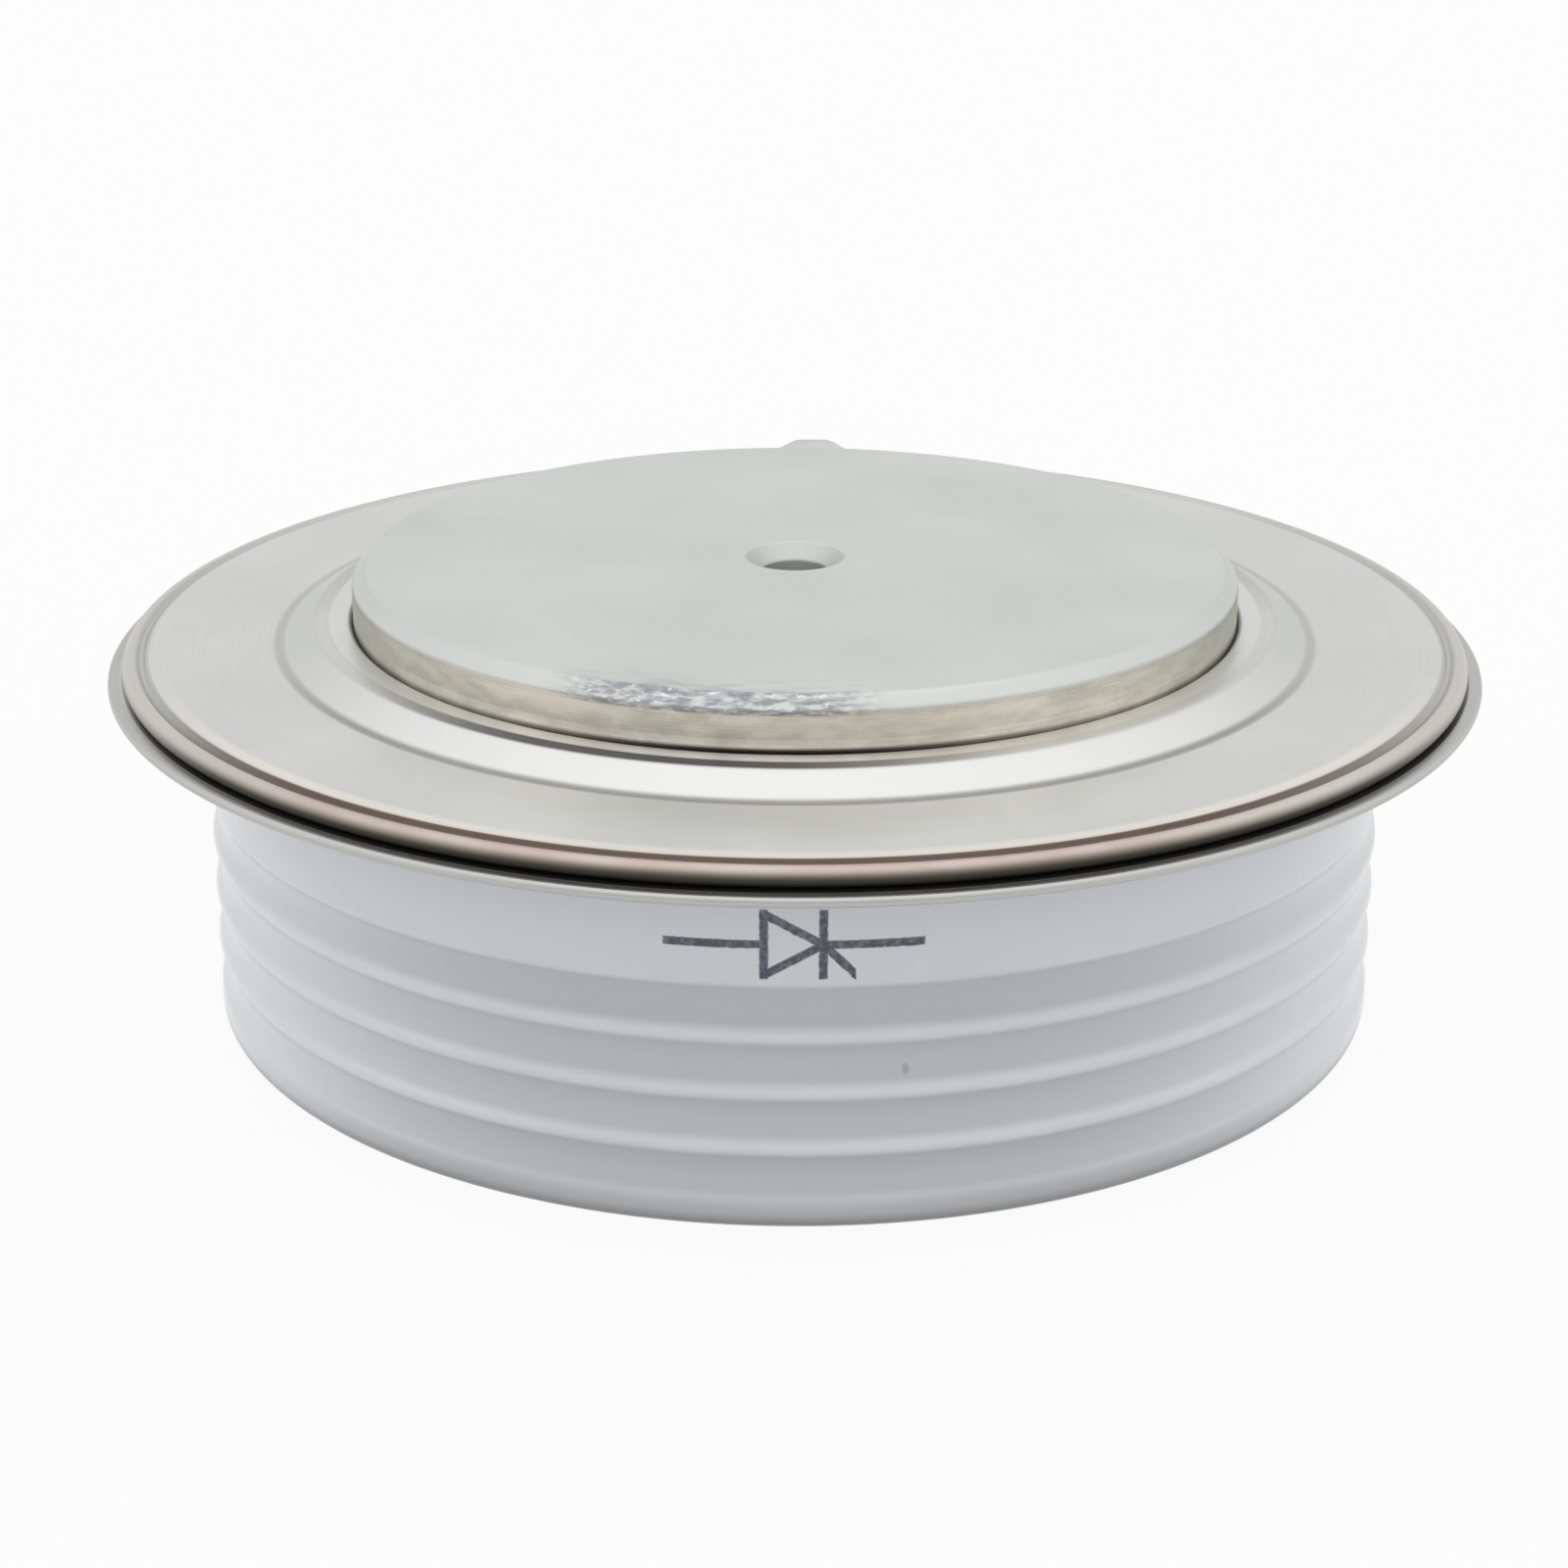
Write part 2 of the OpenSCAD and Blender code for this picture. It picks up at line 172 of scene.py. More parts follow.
def spread(place, x, y):
    return place.node("ShaderNodeCombineXYZ", {}, {0: x, 1: y})


print("shader arithmetic is ready")

# %% [markdown]
# A finish starts from Object coordinates, scaled so that one unit is a millimetre. On a round part
# the useful measures are the distance from the axis, the height, and the angle round the axis, which is
# counted in radians from the front.

# %% Starting a finish


def new_finish(name):
    finish = bpy.data.materials.new(name)
    finish.use_nodes = True
    tree = finish.node_tree
    shader = tree.nodes["Principled BSDF"]
    metres = Wire(tree, tree.nodes.new("ShaderNodeTexCoord").outputs["Object"])
    place = metres.node("ShaderNodeVectorMath", {"operation": "SCALE"}, {0: metres, "Scale": 1 / MM})
    return finish, shader, place


def measures(place):
    x = place.axis(0)
    y = place.axis(1)
    z = place.axis(2)
    radius = place.math("SQRT", x * x + y * y)
    angle = place.math("ARCTAN2", x, 0 - y)
    return radius, z, angle


def feed(shader, **wires):
    for key, wire in wires.items():
        socket = shader.inputs[key.replace("_", " ")]
        if isinstance(wire, Wire):
            wire.tree.links.new(wire.socket, socket)
        else:
            socket.default_value = wire


def shade(red, side_painted_light, blue):
    return (red, side_painted_light, blue, 1.0)


print("finishes can be started")

# %% [markdown]
# Every part of the capsule's shell is round about one axis. On a lathe the tool follows a profile
# while the metal turns. Here a single vertex is pulled out of a plane, extruded along the profile
# and spun once round the Z axis. Corners of a real part are never sharp, so a helper
# first replaces chosen corners of the profile by small arcs.

# %% Turned pieces


def arc(centre, radius, first, last, count=8):
    points = []
    for i in range(count + 1):
        a = math.radians(first + (last - first) * i / count)
        points.append((centre[0] + radius * math.cos(a), centre[1] + radius * math.sin(a)))
    return points


def soften(points, radii, count=5):
    shaped = []
    for i, (point, radius) in enumerate(zip(points, radii)):
        here = Vector(point)
        if radius == 0:
            shaped.append(here)
            continue
        back = Vector(points[i - 1]) - here
        ahead = Vector(points[i + 1]) - here
        length = min(radius, back.length * 0.45, ahead.length * 0.45)
        start = here + back.normalized() * length
        end = here + ahead.normalized() * length
        for k in range(count + 1):
            t = k / count
            shaped.append(start * (1 - t) ** 2 + here * 2 * t * (1 - t) + end * t ** 2)
    return shaped


def trace(name, profile):
    bpy.ops.object.select_all(action="DESELECT")
    bpy.ops.mesh.primitive_plane_add(size=MM)
    piece = bpy.context.active_object
    piece.name = name
    piece.data.name = name
    bpy.ops.object.mode_set(mode="EDIT")
    bpy.ops.mesh.select_mode(type="VERT")
    bpy.ops.mesh.select_all(action="SELECT")
    bpy.ops.mesh.merge(type="CENTER")
    bpy.ops.transform.translate(value=(profile[0][0] * MM, 0, profile[0][1] * MM))
    for before, after in zip(profile, profile[1:]):
        move = ((after[0] - before[0]) * MM, 0, (after[1] - before[1]) * MM)
        bpy.ops.mesh.extrude_vertices_move(TRANSFORM_OT_translate={"value": move})
    bpy.ops.mesh.select_all(action="SELECT")
    return piece


def smooth(piece, degrees):
    bpy.ops.object.select_all(action="DESELECT")
    piece.select_set(True)
    bpy.context.view_layer.objects.active = piece
    bpy.ops.object.shade_smooth_by_angle(angle=math.radians(degrees))


def turned(name, profile, steps=240, degrees=40):
    piece = trace(name, profile)
    bpy.ops.mesh.spin(steps=steps, angle=math.tau, center=(0, 0, 0), axis=(0, 0, 1))
    bpy.ops.mesh.select_all(action="SELECT")
    bpy.ops.mesh.remove_doubles(threshold=0.002 * MM)
    bpy.ops.mesh.normals_make_consistent(inside=False)
    bpy.ops.object.mode_set(mode="OBJECT")
    smooth(piece, degrees)
    print(name, "faces:", len(piece.data.polygons))
    return piece


print("turned pieces can be made")

# %% [markdown]
# Holes that cross a turned piece are drilled after turning. A cutter is put in place, a Boolean takes
# it away from the piece, and the cutter is deleted. The gate lead leaves the capsule in one direction,
# which the gate terminal's solid gives, so every cutter is turned to that direction.

# %% Drilling and placing
gate_low, gate_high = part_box("gate_terminal")
gate_middle = (gate_low + gate_high) / 2
GATE_TURN = math.atan2(gate_middle.y, gate_middle.x)
GATE_Z = round(gate_middle.z / MM, 2)
CUT_PAST = 1


def settle(piece, lay_down, turn_z, height):
    bpy.ops.object.select_all(action="DESELECT")
    piece.select_set(True)
    bpy.context.view_layer.objects.active = piece
    piece.rotation_euler = (0, math.pi / 2 if lay_down else 0, turn_z)
    piece.location = (0, 0, height * MM)
    bpy.ops.object.transform_apply(location=True, rotation=True, scale=True)


def carve(piece, cutter):
    bpy.ops.object.select_all(action="DESELECT")
    piece.select_set(True)
    bpy.context.view_layer.objects.active = piece
    cut = piece.modifiers.new("cut", "BOOLEAN")
    cut.operation = "DIFFERENCE"
    cut.solver = "EXACT"
    cut.object = cutter
    bpy.ops.object.modifier_apply(modifier="cut")
    bpy.data.objects.remove(cutter)


def rod(diameter, start, end):
    radius = diameter / 2
    piece = turned("rod", [(0, start), (radius, start), (radius, end), (0, end)], 64)
    settle(piece, True, GATE_TURN, GATE_Z)
    return piece


print("gate direction in degrees:", round(math.degrees(GATE_TURN), 1), "at height", GATE_Z)

# %% [markdown]
# The contact face on top is the copper cathode pole, plated with nickel and left matt.
# Its rim is chamfered, and a countersunk hole in the middle takes a centring pin.
# On the hidden inner face a bore holds the gate contact, and a slot leads its wire out.

# %% Cathode pole
CHAMFER = 0.7
HOLE_R = 1.75
HOLE_DEPTH = 4.0
SINK_R = 2.75
SINK_DEPTH = 0.75
INNER_CHAMFER = 0.4
BORE_R = 4.2
BORE_TOP = 20.7
SLOT_W = 2.6
FACE_EDGES = [0, 0.05, 0.12, 0.16, 0.2, 0.22]
INNER_EDGE = 0.1
pole_profile = soften([
    (0, TOP - HOLE_DEPTH), (HOLE_R, TOP - HOLE_DEPTH), (HOLE_R, TOP - SINK_DEPTH), (SINK_R, TOP),
    (POLE_R - CHAMFER, TOP), (POLE_R, TOP - CHAMFER), (POLE_R, CATHODE_LOW + INNER_CHAMFER),
    (POLE_R - INNER_CHAMFER, CATHODE_LOW), (BORE_R, CATHODE_LOW), (BORE_R, BORE_TOP), (0, BORE_TOP)],
    FACE_EDGES + [INNER_EDGE] * 4 + [0])
cathode_contact = turned("cathode_contact", pole_profile, 320)
carve(cathode_contact, rod(SLOT_W, 0, POLE_R + CUT_PAST))
bpy.ops.object.select_all(action="DESELECT")
bpy.ops.mesh.primitive_cube_add(size=1)
slot_cutter = bpy.context.active_object
slot_reach = POLE_R + CUT_PAST
slot_cutter.scale = (slot_reach * MM, SLOT_W * MM, (GATE_Z - CATHODE_LOW + CUT_PAST) * MM)
bpy.ops.object.transform_apply(scale=True)
bpy.ops.object.mode_set(mode="EDIT")
bpy.ops.mesh.select_all(action="SELECT")
slot_middle = (CATHODE_LOW - CUT_PAST + GATE_Z) / 2
bpy.ops.transform.translate(value=(slot_reach / 2 * MM, 0, 0))
bpy.ops.object.mode_set(mode="OBJECT")
settle(slot_cutter, False, GATE_TURN, slot_middle)
carve(cathode_contact, slot_cutter)
smooth(cathode_contact, 40)
print("cathode pole top:", TOP)

# %% [markdown]
# The lid is pressed from sheet. From the middle outwards it has a raised ring round the pole, a
# short cone, a flat, the groove left by the welding tool, and a lip that is curled down. Where the
# raised ring meets the pole its edge is rounded away, which leaves a dark crease at the foot of the
# pole that the finishes deepen with painted shade.
# It is round, so it is turned like the pole, with the sheet's thickness in the profile.

# %% Lid
PLATEAU_W = 2.15
CONE_RUN = 1.75
BEND_R = 0.15
GROOVE_W = 0.5
GROOVE_SIDE = 0.15
GROOVE_DEPTH = 0.18
FOOT_GAP_W = 0.2
FOOT_GAP_DEPTH = 0.3
PLATEAU_R = POLE_R + PLATEAU_W
CONE_R = PLATEAU_R + CONE_RUN
CURL_R = SHEET + BEND_R
curl = (LIP_R - CURL_R, LID - CURL_R)
GROOVE_R = curl[0] - BEND_R - GROOVE_W
cone_shift = SHEET * math.tan(math.atan((PLATEAU - LID) / CONE_RUN) / 2)
lid_top = soften([
    (POLE_R, PLATEAU - FOOT_GAP_DEPTH), (POLE_R + FOOT_GAP_W, PLATEAU), (PLATEAU_R, PLATEAU),
    (CONE_R, LID), (GROOVE_R, LID), (GROOVE_R + GROOVE_SIDE, LID - GROOVE_DEPTH),
    (GROOVE_R + GROOVE_W - GROOVE_SIDE, LID - GROOVE_DEPTH), (GROOVE_R + GROOVE_W, LID), curl],
    [0, 0.14, 0.28, 0.4, 0.1, 0.08, 0.08, 0.06, 0])[:-1]
lid_curl = arc(curl, CURL_R, 90, 0, 12) + arc((LIP_R - SHEET / 2, curl[1]), SHEET / 2, 0, -180)[1:]
lid_inside = arc(curl, BEND_R, 0, 90)[1:] + [
    (CONE_R - cone_shift, SEAM), (PLATEAU_R - cone_shift, PLATEAU - SHEET), (POLE_R, PLATEAU - SHEET),
    (POLE_R, PLATEAU - FOOT_GAP_DEPTH)]
lid = turned("lid", list(lid_top) + lid_curl + lid_inside, 360)

# %% [markdown]
# Under the lid lies the weld ring, a second sheet that is brazed to the ceramic. Outside the weld it steps
# down to a round lip of its own. The narrow gap between the two lips is the dark seam round the rim.

# %% Weld ring
RING_R = 28.3
JOGGLE_RUN = 0.35
RING_LIP = RING_LOW + SHEET
joggle_shift = SHEET * math.tan(math.atan((SEAM - RING_LIP) / JOGGLE_RUN) / 2)
ring_profile = [(RING_R, CERAMIC_TOP), (RING_R, SEAM), (curl[0] - JOGGLE_RUN, SEAM), (curl[0], RING_LIP)]
ring_profile += arc((RIM_R - SHEET / 2, RING_LIP - SHEET / 2), SHEET / 2, 90, -90)
ring_profile += [
    (curl[0] - joggle_shift, RING_LOW), (curl[0] - JOGGLE_RUN - joggle_shift, CERAMIC_TOP),
    (RING_R, CERAMIC_TOP)]
rim_ring = turned("rim_ring", ring_profile, 360)

# %% [markdown]
# The housing is a ring of alumina with a glossy glaze. Four shallow grooves lengthen the path that a
# creeping current would have to take. The crests between them are narrow and round, and the band
# above is smooth. Grooves and crests are arcs that meet without a kink.

# %% Ceramic housing
BORE_OF_RING = 28.0
RIB_COUNT = 4
RIB_START = 1.3
RIB_PITCH = 2.95
RIB_DEPTH = 0.35
CREST_W = 0.8
FOOT_ROUND = 0.45
TOP_ROUND = 0.25
TUBE_D = 3.6
chord = RIB_PITCH - CREST_W
groove_arc_r = (chord * chord / 4 + RIB_DEPTH * RIB_DEPTH) / (2 * RIB_DEPTH)
tilt = math.degrees(math.asin(chord / 2 / groove_arc_r))
crest_arc_r = CREST_W / 2 / math.sin(math.radians(tilt))
edge_r = CERAMIC_R - crest_arc_r * (1 - math.cos(math.radians(tilt)))
ribbed_wall = []
for i in range(RIB_COUNT + 1):
    z_crest = FOOT + RIB_START + i * RIB_PITCH
    start = 0 if i == 0 else -tilt
    end = 0 if i == RIB_COUNT else tilt
    ribbed_wall += arc((CERAMIC_R - crest_arc_r, z_crest), crest_arc_r, start, end, 6)
    if i < RIB_COUNT:
        hollow = (edge_r - RIB_DEPTH + groove_arc_r, z_crest + RIB_PITCH / 2)
        ribbed_wall += arc(hollow, groove_arc_r, 180 + tilt, 180 - tilt, 12)[1:-1]
foot_edge = arc((CERAMIC_R - FOOT_ROUND, FOOT + FOOT_ROUND), FOOT_ROUND, -90, 0)
top_edge = arc((CERAMIC_R - TOP_ROUND, CERAMIC_TOP - TOP_ROUND), TOP_ROUND, 0, 90)
ceramic_profile = [(BORE_OF_RING, FOOT)] + foot_edge + ribbed_wall + top_edge
ceramic_profile += [(BORE_OF_RING, CERAMIC_TOP), (BORE_OF_RING, FOOT)]
ceramic_ring = turned("ceramic_ring", ceramic_profile, 360, 50)
carve(ceramic_ring, rod(TUBE_D, BORE_OF_RING - CUT_PAST, CERAMIC_R + CUT_PAST))
smooth(ceramic_ring, 50)

# %% [markdown]
# The underside shows the anode pole, which stands proud of everything else, and the thin membrane
# that joins it to the ceramic. The pole's contact face has the same edges as the cathode's.

# %% Anode pole and membrane
MEMBRANE = 0.4
BORE_SETBACK = 0.3
MEMBRANE_BEND = 0.4
SKIRT_EDGE = 0.12
anode_profile = soften([
    (0, HOLE_DEPTH), (HOLE_R, HOLE_DEPTH), (HOLE_R, SINK_DEPTH), (SINK_R, 0),
    (POLE_R - CHAMFER, 0), (POLE_R, CHAMFER), (POLE_R, ANODE_TOP - INNER_CHAMFER),
    (POLE_R - INNER_CHAMFER, ANODE_TOP), (0, ANODE_TOP)],
    FACE_EDGES + [INNER_EDGE] * 2 + [0])
anode_contact = turned("anode_contact", anode_profile, 320)
land = BORE_OF_RING - BORE_SETBACK - MEMBRANE
membrane_profile = soften([
    (SKIRT_R, SKIRT_LOW), (SKIRT_R, FOOT), (land, FOOT), (land - MEMBRANE, SKIRT_TOP),
    (POLE_R, SKIRT_TOP), (POLE_R, SKIRT_TOP - MEMBRANE), (land - 2 * MEMBRANE, SKIRT_TOP - MEMBRANE),
    (land - MEMBRANE, SKIRT_LOW), (SKIRT_R, SKIRT_LOW)],
    [0, SKIRT_EDGE, MEMBRANE_BEND, MEMBRANE_BEND, 0, 0, MEMBRANE_BEND, MEMBRANE_BEND, 0])
anode_skirt = turned("anode_skirt", membrane_profile, 320)

# %% [markdown]
# The terminals at the rear are stamped from half-millimetre sheet. A stamping is an outline with a
# thickness, so one half of the outline is written down and mirrored. It is traced point by point,
# filled, pulled up by the sheet's thickness and bevelled. The tab lies under the weld ring's lip, and
# the gate blade has a small hole that latches a push-on connector.

# %% Stamped terminals
BLADE_T = 0.5
BLADE_EDGE = 0.09
TUBE_REACH = 3.6
TUBE_END = CERAMIC_R + TUBE_REACH
BLADE_LENGTH = 9
BLADE_END = TUBE_END + BLADE_LENGTH
BLADE_LAP = 1.1
BLADE_HALF = 2.4
BLADE_CHAMFER = 0.7
ROOT_HALF = 1.3
LATCH_D = 1.4
LATCH_SETBACK = 3
TAB_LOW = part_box("cathode_terminal")[0].z / MM
TAB_TURN = math.radians(88.5)
TAB_LAP = 1.4
TAB_NECK = 1
TAB_LENGTH = 9.2
TAB_CHAMFER = 0.5
TAB_ROOT_HALF = 4.2
TAB_MID_HALF = 3.1
TAB_BLADE_HALF = 1.4


def stamped(name, half_outline, low, turn_z, hole=None):
    mirrored = [(x, -y) for x, y in reversed(half_outline)]
    outline = [Vector(point) for point in half_outline + mirrored]
    piece = trace(name, outline)
    bpy.ops.mesh.edge_face_add()
    bpy.ops.mesh.extrude_region_move(TRANSFORM_OT_translate={"value": (0, BLADE_T * MM, 0)})
    bpy.ops.mesh.select_all(action="SELECT")
    bpy.ops.mesh.normals_make_consistent(inside=False)
    bpy.ops.object.mode_set(mode="OBJECT")
    piece.rotation_euler = (math.pi / 2, 0, 0)
    bpy.ops.object.transform_apply(rotation=True)
    if hole:
        bpy.ops.object.select_all(action="DESELECT")
        bpy.ops.mesh.primitive_cylinder_add(vertices=64, radius=hole[1] / 2 * MM, depth=4 * BLADE_T * MM,
                                            location=(hole[0] * MM, 0, BLADE_T / 2 * MM))
        carve(piece, bpy.context.active_object)
    bpy.context.view_layer.objects.active = piece
    edge = piece.modifiers.new("edge", "BEVEL")
    edge.width = BLADE_EDGE * MM
    edge.segments = 3
    edge.limit_method = "ANGLE"
    edge.angle_limit = math.radians(50)
    bpy.ops.object.modifier_apply(modifier="edge")
    settle(piece, False, turn_z, low)
    smooth(piece, 35)
    print(name, "faces:", len(piece.data.polygons))
    return piece


gate_blade = stamped("gate_blade", [
    (TUBE_END - BLADE_LAP, ROOT_HALF), (TUBE_END, ROOT_HALF), (TUBE_END, BLADE_HALF),
    (BLADE_END - BLADE_CHAMFER, BLADE_HALF), (BLADE_END, BLADE_HALF - BLADE_CHAMFER)],
    GATE_Z - BLADE_T / 2, GATE_TURN, (BLADE_END - LATCH_SETBACK, LATCH_D))
tab_shoulder = RIM_R + TAB_NECK
tab_tip = RIM_R + TAB_LENGTH
cathode_tab = stamped("cathode_tab", [
    (RIM_R - TAB_LAP, TAB_ROOT_HALF), (tab_shoulder, TAB_ROOT_HALF),
    ((tab_shoulder + tab_tip) / 2, TAB_MID_HALF), (tab_tip - TAB_CHAMFER, TAB_BLADE_HALF),
    (tab_tip, TAB_BLADE_HALF - TAB_CHAMFER)], TAB_LOW, TAB_TURN)

# %% [markdown]
# The gate lead comes out through a metal tube that is brazed into the ceramic with a washer round it.
# Both are turned lying on their side, with a fillet of braze metal where they meet.

# %% Feedthrough tube and washer
WASHER_R = 2.8
WASHER_T = 0.5
TUBE_BORE_R = 1.3
PLUG = 2.2
FILLET = 0.3
TUBE_START = BORE_OF_RING - BORE_SETBACK
tube_r = TUBE_D / 2
tube_profile = soften([
    (TUBE_BORE_R, TUBE_START), (tube_r, TUBE_START), (tube_r, TUBE_END), (0, TUBE_END)], [0, 0.1, 0.3, 0])
plug_low = TUBE_END - PLUG
tube_profile += [(0, plug_low), (TUBE_BORE_R, plug_low), (TUBE_BORE_R, TUBE_START)]
feedthrough = turned("feedthrough_tube", tube_profile, 96)
settle(feedthrough, True, GATE_TURN, GATE_Z)
washer_profile = soften([
    (tube_r, CERAMIC_R), (WASHER_R, CERAMIC_R), (WASHER_R, CERAMIC_R + WASHER_T),
    (tube_r + FILLET, CERAMIC_R + WASHER_T), (tube_r, CERAMIC_R + WASHER_T + FILLET), (tube_r, CERAMIC_R)],
    [0, 0.1, 0.2, 0.2, 0, 0])
braze_washer = turned("braze_washer", washer_profile, 96)
settle(braze_washer, True, GATE_TURN, GATE_Z)

# %% [markdown]
# The floor is a wide pale sheet, a hair below the anode face so that the two faces don't coincide. For
# the camera, and for metal that mirrors it, it is lifted towards white with light of its own, and
# the rest of it still takes the soft shadow of the part.

# %% Floor
FLOOR_SIZE = 6
FLOOR_DROP = 0.01
FLOOR_GLOW = 0.93
bpy.ops.object.select_all(action="DESELECT")
bpy.ops.mesh.primitive_plane_add(size=FLOOR_SIZE, location=(0, 0, -FLOOR_DROP * MM))
floor = bpy.context.active_object
floor.name = "studio_floor"
floor_finish = bpy.data.materials.new("pale_floor")
floor_finish.use_nodes = True
floor_tree = floor_finish.node_tree
floor_tree.nodes.clear()
rays = floor_tree.nodes.new("ShaderNodeLightPath")
seen = Wire(floor_tree, rays.outputs["Is Camera Ray"])
mirrored = Wire(floor_tree, rays.outputs["Is Glossy Ray"])
through = Wire(floor_tree, rays.outputs["Is Transmission Ray"])
shown = seen.either(mirrored).either(through)
paint = seen.node("ShaderNodeBsdfDiffuse", {}, {"Color": shade(0.62, 0.62, 0.62)})
glow = seen.node("ShaderNodeEmission", {}, {"Color": shade(1, 1, 1), "Strength": 1.0})
mixed = seen.node("ShaderNodeMixShader", {}, {0: shown * FLOOR_GLOW, 1: paint, 2: glow})
floor_out = floor_tree.nodes.new("ShaderNodeOutputMaterial")
floor_tree.links.new(mixed.socket, floor_out.inputs["Surface"])
floor.data.materials.append(floor_finish)
print("floor is set")

# %% [markdown]
# The light is that of a small photo tent: pale walls all round, and brighter cloths overhead and at both
# sides. A plain dome with a bright crown does this without lamps. The crown is what turns the front of
# the lid's cone white.

# %% Studio dome
WALL_LIGHT = 0.86
CROWN_LIGHT = 0.5
FRONT_LOSS = 0.05
SIDE_GAIN = 0.26
world = bpy.data.worlds.new("photo_tent")
scene.world = world
world.use_nodes = True
world_tree = world.node_tree
world_tree.nodes.clear()
way = Wire(world_tree, world_tree.nodes.new("ShaderNodeTexCoord").outputs["Generated"])
crown = way.axis(2).step(0.45, 1.0)
front = (0 - way.axis(1)).step(0.2, 0.9)
sides = abs(way.axis(0)).step(0.45, 0.9)
level = WALL_LIGHT + CROWN_LIGHT * crown - FRONT_LOSS * front + SIDE_GAIN * sides
sky = way.node("ShaderNodeBackground", {}, {"Color": shade(1, 1, 1), "Strength": level})
world_out = world_tree.nodes.new("ShaderNodeOutputWorld")
world_tree.links.new(sky.socket, world_out.inputs["Surface"])
print("dome is set")

# %% [markdown]
# A finished piece gets its finish, rides on the one body that the capsule has, and stands for its
# solid, which is hidden.

# %% Dressing a piece


def dress(piece, finish, node):
    piece.data.materials.clear()
    piece.data.materials.append(finish)
    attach(piece, "root")
    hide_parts(node)
    print(piece.name, "stands for", node)


print("pieces can be dressed")

# %% [markdown]
# The nickel on the poles is matt: a fine even grain with soft clouds of lighter and darker plate. The
# turned side is creamier and carries the fine lines of the lathe tool. Painted shade darkens that side
# towards its left and right ends, the countersink, and the crease at the foot of the side, most at the
# front. Handling has nicked the chamfer at the front and smeared the face beside it. A faint line of
# painted shade runs all round under the chamfer, and scuffs deepen it where the part was handled. The
# nicks run along the edge, bluish where the plate is worn, with painted highlights on the burrs where
# the metal was pushed up. Both poles share this finish, so depths are counted inwards from the nearer
# contact face.

# %% Matt nickel of the poles
HANDLED_FROM = -0.47
HANDLED_TO = 0.13
SMEAR_W = 3.2
matt_nickel, shader, place = new_finish("matt_nickel")
radius, z, angle = measures(place)
cloud = place.noise(0.11, 4)
grain = place.noise(6.0, 2)
mottle = (cloud * 0.75 + grain * 0.25).step(0.32, 0.68)
face = mottle.tint(shade(0.60, 0.615, 0.59), shade(0.645, 0.66, 0.635))
# Painted shade: the countersink is darkened.
countersink_shade = (1 - radius.step(SINK_R - 0.1, SINK_R + 0.05)) * abs(z - TOP / 2).step(TOP / 2 - 4, TOP / 2 - 3)
face = (countersink_shade * 0.5).tint(face, shade(0.42, 0.43, 0.42))
drilled = (1 - radius.step(HOLE_R, HOLE_R + 0.1)) * (1 - abs(z - TOP / 2).step(TOP / 2 - 1, TOP / 2 - 0.7))
face = drilled.tint(face, shade(0.62, 0.63, 0.62))
inwards = TOP / 2 - abs(z - TOP / 2)
side = radius.step(POLE_R - 0.12, POLE_R - 0.04) * inwards.step(CHAMFER + 0.02, CHAMFER + 0.12)
lathe = spread(place, radius * 0.4, z * 9).noise(1.0, 2)
blotch = spread(place, angle * 9, z * 0.9).noise(1.0, 3, 0.6)
streaked = (lathe * 0.3 + blotch * 0.7).step(0.34, 0.66)
wall = streaked.tint(shade(0.54, 0.52, 0.44), shade(0.80, 0.77, 0.67))
wall = (cloud.step(0.4, 0.6) * 0.35).tint(wall, shade(0.80, 0.70, 0.58))
# Painted shade: the turned side darkens towards its left and right ends.
wall = (abs(angle).step(0.45, 1.45) * 0.85).tint(wall, shade(0.37, 0.385, 0.33))
colour = side.tint(face, wall)
near_front = 1 - abs(angle + 0.04).step(0.05, 0.9)
# Painted shade in the crease at the foot of the turned side, strongest at the front.
foot_crease_shade = abs(z - PLATEAU + 0.2).step(0.5, 0.25) * side
colour = (foot_crease_shade * (0.15 + 0.8 * near_front)).tint(colour, shade(0.05, 0.04, 0.03))
past_face = radius.step(POLE_R - CHAMFER - 0.1, POLE_R - CHAMFER + 0.02)
chamfer = past_face * (1 - inwards.step(CHAMFER - 0.02, CHAMFER + 0.08))
colour = (chamfer * 0.7).tint(colour, shade(0.60, 0.61, 0.60))
along = spread(place, angle * 24, z * 5)
stroke = along.noise(1.0, 3, 0.6)
# Painted shade: a faint dark line runs all round under the chamfer; scuffs deepen it where handled.
under_edge = inwards.band(CHAMFER - 0.02, CHAMFER + 0.2, 0.1) * radius.step(POLE_R - 0.3, POLE_R - 0.1)
handled = angle.band(HANDLED_FROM, HANDLED_TO, 0.08)
edge_shade_and_scuff = 0.3 + 0.6 * stroke.step(0.36, 0.58) * handled
colour = (under_edge * edge_shade_and_scuff).tint(colour, shade(0.19, 0.18, 0.16))
near_edge = radius.step(POLE_R - CHAMFER - 0.35, POLE_R - CHAMFER)
edge_band = near_edge * (1 - inwards.step(CHAMFER, CHAMFER + 0.15))
nick = stroke.step(0.38, 0.60) * edge_band * handled * z.step(TOP / 2, TOP / 2 + 1)
